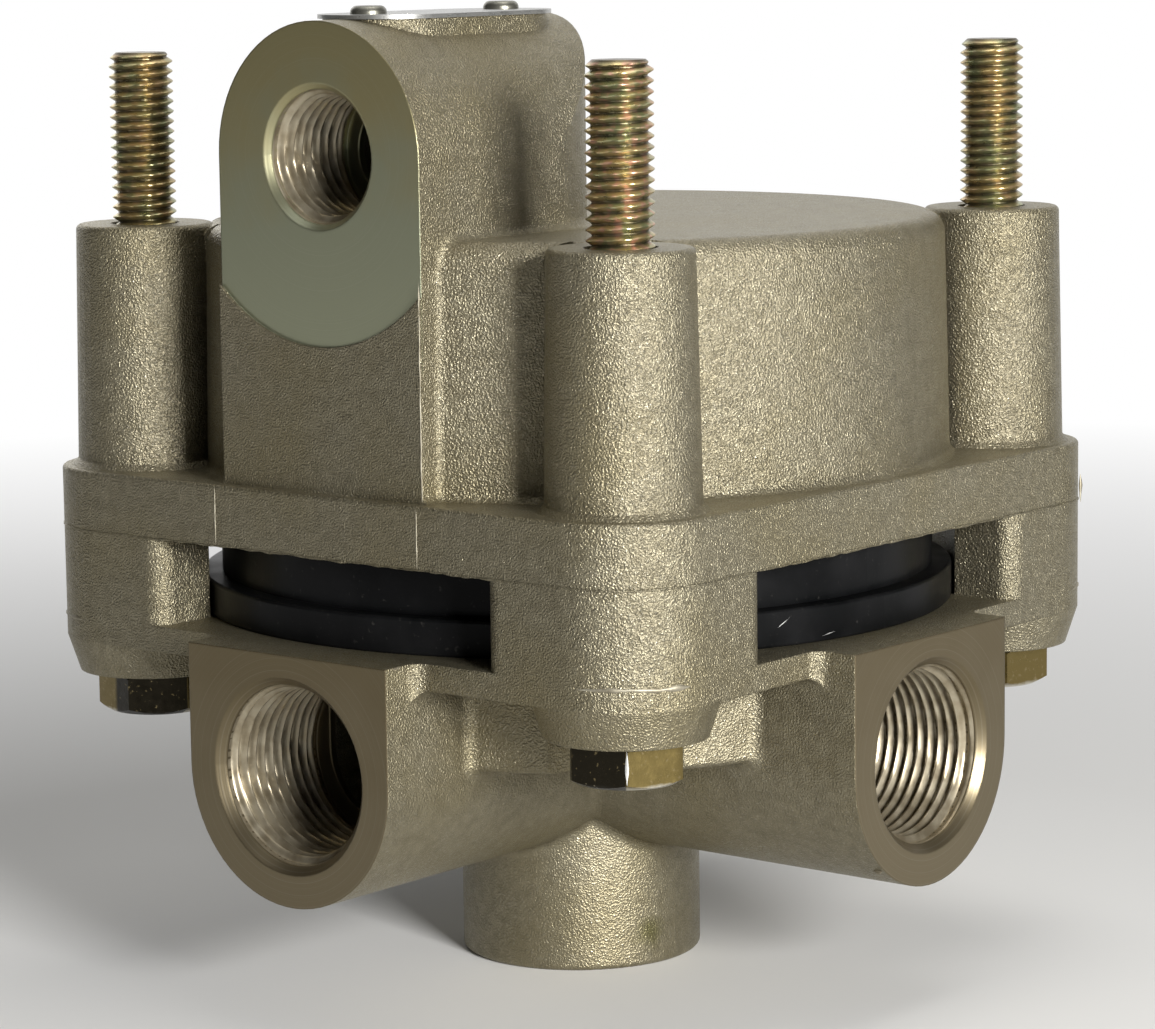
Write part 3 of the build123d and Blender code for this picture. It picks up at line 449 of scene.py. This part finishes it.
for mark_name, start, end, way, width, height in (
    ("housing_flash_right", (16.0, -48.0, 64.8), (16.0, -48.0, 90.5), (0.7, -0.7, 0), 0.16, 0.14),
    ("flange_flash_right", (16.3, -49.5, 57.3), (16.3, -49.5, 64.5), (0, -1, 0), 0.15, 0.13),
    ("flange_flash_left", (-16.3, -49.5, 57.3), (-16.3, -49.5, 64.5), (0, -1, 0), 0.15, 0.13),
    ("port_chip", (15.9, -54.7, 46.1), (15.9, -52.0, 46.1), (0.7, 0, 0.7), 0.34, 0.26),
    ("supply_port_nub", (53.2, -9.85, 18.9), (54.6, -9.85, 18.9), (0, -0.62, -0.79), 0.55, 0.8),
    ("flange_nub_right", (49.5, 42.0, 56.9), (49.5, 42.0, 60.6), (1, 0, 0), 0.40, 0.38),
    ("tube_fleck", (-3.1, -15.08, 14.0), (-3.4, -15.02, 14.8), (-0.2, -0.98, 0), 0.16, 0.14),
):
    line = straight_line(start, end, way)
    ridge(mark_name, line, width * MM, height * MM, 21, flash_and_highlight_finish, "casting")
for scratch_name, start, end in (
    ("liner_scratch_front", (44.75, -17.36, 48.6), (45.38, -15.64, 49.7)),
    ("liner_scratch_rear", (47.13, -9.08, 47.2), (46.70, -11.10, 46.9)),
):
    line = straight_line(start, end, (start[0] / 48, start[1] / 48, 0))
    ridge(scratch_name, line, 0.10 * MM, 0.06 * MM, 31, scratch_and_highlight_finish, "liner")


# Liner: black moulded cylinder clamped between the castings, smooth and slightly glossy. Two
# of its rings show through the windows, with a few white scratches from handling.
LINER_BLACK = (0.0030, 0.0032, 0.0034, 1)
LINER_GREY = (0.0075, 0.0076, 0.0080, 1)
LINER_DUST = (0.10, 0.095, 0.085, 1)


def moulded_finish(name, black, grey, roughness, dust=0.0):
    """Moulded black plastic or rubber: faint cloudy sheen, and dust where dust is above 0."""
    constants = {"Metallic": 0.0, "Specular IOR Level": 0.07}
    material, tree, shader, place = new_finish(name, constants)
    clouds = patches(tree, place, 7 * MM, 4.0)
    specks = patches(tree, place, 0.7 * MM, 3.0)
    colour = blend(tree, grade(tree, clouds, 0.35, 0.7), black, grey)
    colour = blend(tree, grade(tree, specks, 0.66, 0.80, 0.0, dust), colour, LINER_DUST)
    rough = grade(tree, clouds, 0.3, 0.7, roughness - 0.06, roughness + 0.08)
    wire(tree, shader, colour=colour, roughness=rough, normal=bumps(tree, specks, 0.010 * MM))
    return material


dress("cylinder_liner", moulded_finish("moulded_liner", LINER_BLACK, LINER_GREY, 0.34, 0.25))


# Bolts: steel, yellow zinc plated, with a rainbow of pink and green in the film. The thread
# is rolled, so it stands a little prouder than the shank, and it comes out of the top of its
# boss. The head's six corners are chamfered, and the front one has a worn edge whose pale line
# is a painted highlight. Painted shade darkens the heads against the studs, lies in patches on
# one face of each front head, and fills the thread roots.
BOLT_PLACES = {
    "bolt_front_right": (1, -1, 8.6),
    "bolt_front_left": (-1, -1, 45.3),
    "bolt_rear_right": (1, 1, 20.0),
    "bolt_rear_left": (-1, 1, 3.0),
}
BOLT_REACH = 38.25 * MM
BOLT_PITCH = 1.25 * MM
BOLT_CREST_R = 4.0 * MM
BOLT_THREAD_DEPTH = 0.72 * MM
BOLT_SHANK_R = 3.6 * MM
BOLT_END_R = 3.1 * MM
HEAD_HALF_FLATS = 6.5 * MM
HEAD_CHAMFER_R = 6.1 * MM
HEAD_TOP_CHAMFER_R = 6.35 * MM
HEAD_LOW_Z = 33.1 * MM
HEAD_HIGH_Z = 38.4 * MM
THREAD_FOOT_Z = 94.3 * MM
BOLT_TOP_Z = 116.3 * MM
ZINC_GOLD = (0.500, 0.390, 0.190, 1)
ZINC_ROSE = (0.660, 0.370, 0.290, 1)
ZINC_GREEN = (0.330, 0.340, 0.190, 1)
ZINC_DULL = (0.360, 0.290, 0.170, 1)
ZINC_ROOT_SHADE = (0.045, 0.036, 0.022, 1)
ZINC_SHADED_OLIVE = (0.170, 0.128, 0.045, 1)
ZINC_FACE_SHADE = (0.010, 0.009, 0.007, 1)
ZINC_WORN = (0.480, 0.450, 0.370, 1)
# Head faces painted near black as painted shade: the head's centre in millimetres and the corner beside the face
# in degrees.
SHADED_FACE_PLACES = {
    "bolt_front_right": ((38.25, -38.25), -51.4),
    "bolt_front_left": ((-38.25, -38.25), -14.7),
}
SHADED_FACE_SIZE = 6.3 * MM


def zinc_finish(name, rose_share, shaded_face_place):
    """Yellow zinc film whose colour drifts round and along the bolt, with painted shade in the thread roots.
    The rose share is how far the pink of the film shows, and the shaded face place gives the head face that is
    painted near black as painted shade."""
    constants = {"Metallic": 0.9, "Specular IOR Level": 0.5}
    material, tree, shader, place = new_finish(name, constants)
    x, y, z = node(tree, "SeparateXYZ", {0: place}).outputs
    local = [
        maths(tree, "SUBTRACT", maths(tree, "ABSOLUTE", x), BOLT_REACH),
        maths(tree, "SUBTRACT", maths(tree, "ABSOLUTE", y), BOLT_REACH),
    ]
    radius = distance(tree, *local, (0.0, 0.0))
    drift = patches(tree, place, 3.2 * MM, 3.0)
    bands = patches(tree, place, 1.1 * MM, 2.0)
    colour = blend(tree, grade(tree, drift, 0.38, 0.60), ZINC_GREEN, ZINC_GOLD)
    colour = blend(tree, grade(tree, bands, 0.50, 0.66, 0.0, rose_share), colour, ZINC_ROSE)
    colour = blend(tree, grade(tree, drift, 0.60, 0.75, 0.0, 0.6), colour, ZINC_DULL)
    root = BOLT_CREST_R - BOLT_THREAD_DEPTH
    above = maths(tree, "GREATER_THAN", z, HEAD_HIGH_Z)
    # Painted shade: the thread roots above the head are painted near black.
    root_shade = maths(tree, "MULTIPLY", above, grade(tree, radius, root + 0.30 * MM, root, 0.0, 0.85))
    colour = blend(tree, root_shade, colour, ZINC_ROOT_SHADE)
    head = maths(tree, "SUBTRACT", 1.0, above)
    # Painted shade: the head is painted a darker, more olive film than the stud, in patches.
    shade_patches = patches(tree, place, 0.6 * MM, 3.0)
    shaded_head_film = blend(tree, grade(tree, shade_patches, 0.60, 0.75, 0.0, 0.5), ZINC_SHADED_OLIVE, ZINC_DULL)
    colour = blend(tree, head, colour, shaded_head_film)
    low_edge = grade(tree, maths(tree, "ADD", z, maths(tree, "MULTIPLY", bands, 0.5 * MM)), 33.95 * MM, 33.55 * MM)
    colour = blend(tree, maths(tree, "MULTIPLY", head, low_edge), colour, ZINC_WORN)
    # Painted shade: patches of near black on one face of the head.
    if shaded_face_place:
        (centre_x, centre_y), corner = shaded_face_place
        side_x, side_y = np.sin(np.radians(corner)), -np.cos(np.radians(corner))
        face_x = centre_x * MM + 6.5 * MM * np.cos(np.radians(corner - 30))
        face_y = centre_y * MM + 6.5 * MM * np.sin(np.radians(corner - 30))
        behind = maths(
            tree, "ADD",
            maths(tree, "MULTIPLY", maths(tree, "SUBTRACT", x, centre_x * MM), float(side_x)),
            maths(tree, "MULTIPLY", maths(tree, "SUBTRACT", y, centre_y * MM), float(side_y)),
        )
        near = distance(tree, x, y, (float(face_x), float(face_y)))
        face_shade = maths(tree, "MULTIPLY", grade(tree, behind, 0.0, 0.15 * MM), grade(tree, near, SHADED_FACE_SIZE, 0.9 * SHADED_FACE_SIZE))
        face_shade = maths(tree, "MULTIPLY", face_shade, grade(tree, shade_patches, 0.72, 0.66, 0.3, 0.95))
        colour = blend(tree, maths(tree, "MULTIPLY", face_shade, head), colour, ZINC_FACE_SHADE)
    wire(tree, shader, colour=colour, roughness=grade(tree, bands, 0.3, 0.7, 0.26, 0.42))
    wire(tree, shader, normal=bumps(tree, patches(tree, place, 0.35 * MM, 2.0), 0.02 * MM))
    return material


def bolt_surfaces(turn_deg):
    """Two shells of revolution about the bolt's axis. The head and shank: a six-sided outline
    met by a cone at each end. The stud: a helical thread, pointed at the top by a cone."""
    columns = 72
    turn = np.linspace(0, 2 * np.pi, columns, endpoint=False)[None, :]
    from_flat = np.mod(turn - np.radians(turn_deg), np.pi / 3) - np.pi / 6
    outline = HEAD_HALF_FLATS / np.cos(from_flat)
    slope = np.tan(np.radians(30))
    flat = np.zeros((1, columns))
    dish = 0.25 * MM
    r_rows = [
        flat + 3.9 * MM, flat + 4.3 * MM, flat + HEAD_CHAMFER_R, outline, outline,
        flat + HEAD_TOP_CHAMFER_R, flat + BOLT_SHANK_R, flat + BOLT_SHANK_R,
    ]
    z_rows = [
        flat + HEAD_LOW_Z + dish, flat + HEAD_LOW_Z, flat + HEAD_LOW_Z,
        HEAD_LOW_Z + (outline - HEAD_CHAMFER_R) * slope,
        HEAD_HIGH_Z - (outline - HEAD_TOP_CHAMFER_R) * slope,
        flat + HEAD_HIGH_Z, flat + HEAD_HIGH_Z, flat + THREAD_FOOT_Z + 0.1 * MM,
    ]
    head = np.stack([np.vstack(r_rows), np.vstack(z_rows)])

    rows = int((BOLT_TOP_Z - THREAD_FOOT_Z) / BOLT_PITCH * THREAD_ROWS)
    z = np.linspace(THREAD_FOOT_Z, BOLT_TOP_Z, rows)[:, None] + flat
    root = BOLT_CREST_R - BOLT_THREAD_DEPTH
    r = root + thread_profile(z, turn, BOLT_PITCH, BOLT_THREAD_DEPTH, 0.10, 0.16)
    r = np.minimum(r, BOLT_END_R + (BOLT_TOP_Z - z) * 1.1)
    stud = np.stack([r, z])
    shells = []
    for r, z in (head, stud):
        shells.append(np.stack([r * np.cos(turn), r * np.sin(turn), z], -1))
    return shells


for bolt_name, (side_x, side_y, head_turn) in BOLT_PLACES.items():
    rose = 0.75 if bolt_name == "bolt_front_right" else 0.25
    points, faces = capped(bolt_surfaces(head_turn))
    points = points + np.array([side_x * BOLT_REACH, side_y * BOLT_REACH, 0.0])
    finish = zinc_finish("yellow_zinc_" + bolt_name, rose, SHADED_FACE_PLACES.get(bolt_name))
    bolt = make_piece(bolt_name + "_threaded", points, faces, finish, crease=28)
    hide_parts(bolt_name)
# The front head's corner that faces the camera: a worn edge whose pale colour is a painted highlight.
edge_line = straight_line((42.90, -44.08, 33.95), (42.90, -44.08, 38.0), (0.624, -0.781, 0))
ridge("worn_edge_highlight", edge_line, 0.30 * MM, 0.08 * MM, 41, scratch_and_highlight_finish, "bolt")


# Nameplate and rivets: a thin aluminium plate, left bare, held on the pad by two round-headed
# rivets. The plate is bright and slightly scuffed, and the rivets are dull steel.
PLATE_BRIGHT = (0.430, 0.430, 0.415, 1)
PLATE_SCUFF = (0.240, 0.236, 0.220, 1)
RIVET_STEEL = (0.230, 0.225, 0.190, 1)
RIVET_DARK = (0.090, 0.088, 0.070, 1)


def brushed_finish(name, light, dark, roughness, stretch=(0.25, 3.0, 0.25)):
    """Sheet or turned metal: long fine scratches along Y, and cloudy stains."""
    material, tree, shader, place = new_finish(name, {"Metallic": 0.85})
    along = node(tree, "Mapping", {"Vector": place, "Scale": [1 / s for s in stretch]}).outputs[0]
    lines = patches(tree, along, 0.5 * MM, 2.0)
    clouds = patches(tree, place, 4 * MM, 3.0)
    colour = blend(tree, grade(tree, lines, 0.45, 0.72, 0.0, 0.5), light, dark)
    colour = blend(tree, grade(tree, clouds, 0.55, 0.75, 0.0, 0.6), colour, dark)
    rough = grade(tree, lines, 0.3, 0.7, roughness - 0.08, roughness + 0.1)
    wire(tree, shader, colour=colour, roughness=rough, normal=bumps(tree, lines, 0.01 * MM))
    return material


dress("nameplate", brushed_finish("bare_plate", PLATE_BRIGHT, PLATE_SCUFF, 0.34))
rivet_finish = brushed_finish("rivet_steel", RIVET_STEEL, RIVET_DARK, 0.38)
dress("plate_rivet_front", rivet_finish)
dress("plate_rivet_rear", rivet_finish)


# Inner pieces: turned aluminium piston, brass valve, spring steel springs and snap ring,
# moulded guide, and black rubber seals and flap. Little of them shows outside the ports.
turned_finish = brushed_finish("turned_piston", (0.52, 0.52, 0.52, 1), (0.30, 0.30, 0.30, 1), 0.34)
brass_finish = brushed_finish("turned_brass", (0.52, 0.36, 0.14, 1), (0.30, 0.20, 0.08, 1), 0.32)
steel_finish = brushed_finish("spring_steel", (0.24, 0.24, 0.245, 1), (0.09, 0.09, 0.095, 1), 0.36)
guide_finish = moulded_finish("moulded_guide", (0.012, 0.012, 0.013, 1), (0.03, 0.03, 0.032, 1), 0.45)
rubber_finish = moulded_finish("black_rubber", (0.009, 0.009, 0.009, 1), (0.025, 0.025, 0.024, 1), 0.60, 0.2)
for piece_name, (inner_finish, inner_slot) in {
    "relay_piston": (turned_finish, "piston"),
    "valve_stem": (brass_finish, "valve"),
    "valve_guide": (guide_finish, "guide"),
    "snap_ring": (steel_finish, "spring"),
    "piston_spring": (steel_finish, "spring"),
    "valve_spring": (steel_finish, "spring"),
    "valve_rubber_face": (rubber_finish, "seal"),
    "exhaust_flap": (rubber_finish, "seal"),
    "liner_upper_seal": (rubber_finish, "seal"),
    "liner_foot_seal": (rubber_finish, "seal"),
    "piston_seal": (rubber_finish, "seal"),
    "guide_seal": (rubber_finish, "seal"),
    "stem_seal": (rubber_finish, "seal"),
}.items():
    dress(piece_name, inner_finish)
for spring, joint, seat_z, keep in (
    ("piston_spring", "piston_slide", 46.0 * MM, 0.881),
    ("valve_spring", "valve_slide", 20.5 * MM, 0.852),
):
    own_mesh(nodes[spring])


# Studio: pale floor, white surroundings, a soft lamp to the right, a larger one overhead and a dim one behind.
CAMERA_PLACE = (0.32377, -0.39623, 0.13206)
CAMERA_AZIMUTH = np.radians(39.24)
CAMERA_PITCH = np.radians(8.42)
CAMERA_ROLL = np.radians(-0.75)
CAMERA_LENS = 125.39
FLOOR_TONE = (0.76, 0.76, 0.75, 1)

floor_mesh = bpy.data.meshes.new("floor")
floor_mesh.from_pydata([(-3, -3, 0), (3, -3, 0), (3, 3, 0), (-3, 3, 0)], [], [(0, 1, 2, 3)])
floor = bpy.data.objects.new("floor", floor_mesh)
bpy.context.scene.collection.objects.link(floor)
floor_material, tree, shader, place = new_finish("pale_floor", {"Roughness": 0.9, "Specular IOR Level": 0.1})
shader.inputs["Base Color"].default_value = FLOOR_TONE
x, y, z = node(tree, "SeparateXYZ", {0: place}).outputs
far = grade(tree, distance(tree, x, y, (0.0, 0.0)), 0.12, 0.55)
rays = node(tree, "LightPath").outputs
seen = maths(tree, "MAXIMUM", rays["Is Camera Ray"], maths(tree, "MAXIMUM", rays["Is Glossy Ray"], rays["Is Transmission Ray"]))
white = node(tree, "Emission", {"Color": (1, 1, 1, 1), "Strength": 1.0}).outputs[0]
mixed = node(tree, "MixShader", {0: maths(tree, "MULTIPLY", far, seen), 1: shader.outputs[0], 2: white})
tree.links.new(mixed.outputs[0], tree.nodes["Material Output"].inputs["Surface"])
floor_mesh.materials.append(floor_material)

world = bpy.data.worlds.new("studio")
bpy.context.scene.world = world
world.use_nodes = True
tree = world.node_tree
rays = node(tree, "LightPath").outputs
seen = maths(tree, "MAXIMUM", rays["Is Camera Ray"], maths(tree, "MAXIMUM", rays["Is Glossy Ray"], rays["Is Transmission Ray"]))
fill = node(tree, "Background", {"Color": (0.95, 0.97, 1.0, 1), "Strength": 0.28}).outputs[0]
white = node(tree, "Background", {"Color": (1, 1, 1, 1), "Strength": 1.0}).outputs[0]
mixed = node(tree, "MixShader", {0: seen, 1: fill, 2: white})
tree.links.new(mixed.outputs[0], tree.nodes["World Output"].inputs["Surface"])


def lamp(name, place, size, watts, colour=(1, 1, 1)):
    """A square soft lamp that faces the middle of the valve."""
    light = bpy.data.lights.new(name, "AREA")
    light.size, light.energy, light.color = size, watts, colour
    holder = bpy.data.objects.new(name, light)
    holder.location = place
    aim = Matrix.Translation((0, 0, 0.06)).translation - holder.location
    holder.rotation_euler = aim.to_track_quat("-Z", "Y").to_euler()
    bpy.context.scene.collection.objects.link(holder)


lamp("key_lamp", (0.60, -0.27, 0.20), 0.20, 8.5, (1.0, 0.99, 0.98))
lamp("top_lamp", (0.05, 0.12, 0.90), 0.45, 1.8, (1.0, 0.97, 0.92))
lamp("rear_lamp", (-0.62, 0.30, 0.30), 0.35, 0.5, (1.0, 0.98, 0.95))

# The room on the camera's side is dim: a grey sheet that curves round the front and sides,
# which only shows as darker reflections in the metal. Behind the valve it is open and white.
ROOM_GREY = (0.045, 0.045, 0.045, 1)
sweep = np.radians(np.linspace(-50.7 - 130, -50.7 + 130, 40))[:, None]
lift = np.array([[0.0, 1.5]])
sheet = np.stack([0.9 * np.cos(sweep) + 0 * lift, 0.9 * np.sin(sweep) + 0 * lift, lift + 0 * sweep], -1)
column = np.arange(39)
sheet_faces = np.stack([2 * column, 2 * column + 1, 2 * column + 3, 2 * column + 2], -1).tolist()
room_mesh = bpy.data.meshes.new("room_sheet")
room_mesh.from_pydata(sheet.reshape(-1, 3).tolist(), [], sheet_faces)
room = bpy.data.objects.new("room_sheet", room_mesh)
bpy.context.scene.collection.objects.link(room)
room.visible_camera = False
room_material, tree, shader, place = new_finish("grey_room", {"Roughness": 0.9, "Specular IOR Level": 0.1})
shader.inputs["Base Color"].default_value = ROOM_GREY
room_mesh.materials.append(room_material)

camera_data = bpy.data.cameras.new("camera")
camera_data.lens = CAMERA_LENS
camera_data.sensor_width = 36.0
camera_data.clip_start, camera_data.clip_end = 0.01, 20
camera = bpy.data.objects.new("camera", camera_data)
bpy.context.scene.collection.objects.link(camera)
sa, ca = np.sin(CAMERA_AZIMUTH), np.cos(CAMERA_AZIMUTH)
forward = np.array([-sa * np.cos(CAMERA_PITCH), ca * np.cos(CAMERA_PITCH), -np.sin(CAMERA_PITCH)])
right = np.array([ca, sa, 0.0])
up = np.cross(right, forward)
cr, sr = np.cos(CAMERA_ROLL), np.sin(CAMERA_ROLL)
axes = np.stack([right * cr + up * sr, up * cr - right * sr, -forward], 1)
camera.matrix_world = Matrix.Translation(CAMERA_PLACE) @ Matrix(axes.tolist()).to_4x4()
bpy.context.scene.camera = camera
bpy.context.scene.view_settings.view_transform = "Standard"
